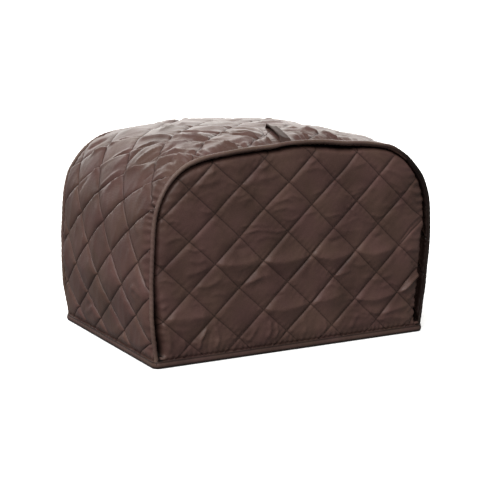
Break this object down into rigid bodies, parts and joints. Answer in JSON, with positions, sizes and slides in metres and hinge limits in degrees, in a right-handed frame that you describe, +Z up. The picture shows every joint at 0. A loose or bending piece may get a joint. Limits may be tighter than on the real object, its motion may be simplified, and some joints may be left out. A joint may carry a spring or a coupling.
{
  "type": "toaster cover",
  "caption": "Quilted cloth cover for a toaster: arched front and back panels joined by a deep gusset, with corded seams, a bound hem and a short strap across the top.",
  "frame": {"origin": "middle of the hem's rectangle, on the surface that the hem stands on", "axes": "+Z up, +X along the width to the right as seen from the front, -Y towards the front panel"},
  "size_m": [0.3243, 0.2222, 0.2134],
  "materials": {
    "quilted_cloth": "dark brown quilted satin cloth",
    "piping_cloth": "brown satin bias strip over cord",
    "binding_cloth": "brown folded bias strip",
    "strap_cloth": "brown folded satin strip"
  },
  "bodies": {
    "root": {"front_panel": "quilted_cloth", "back_panel": "quilted_cloth", "gusset": "quilted_cloth", "front_piping": "piping_cloth", "back_piping": "piping_cloth", "hem_binding": "binding_cloth", "top_strap": "strap_cloth"}
  },
  "joints": []
}
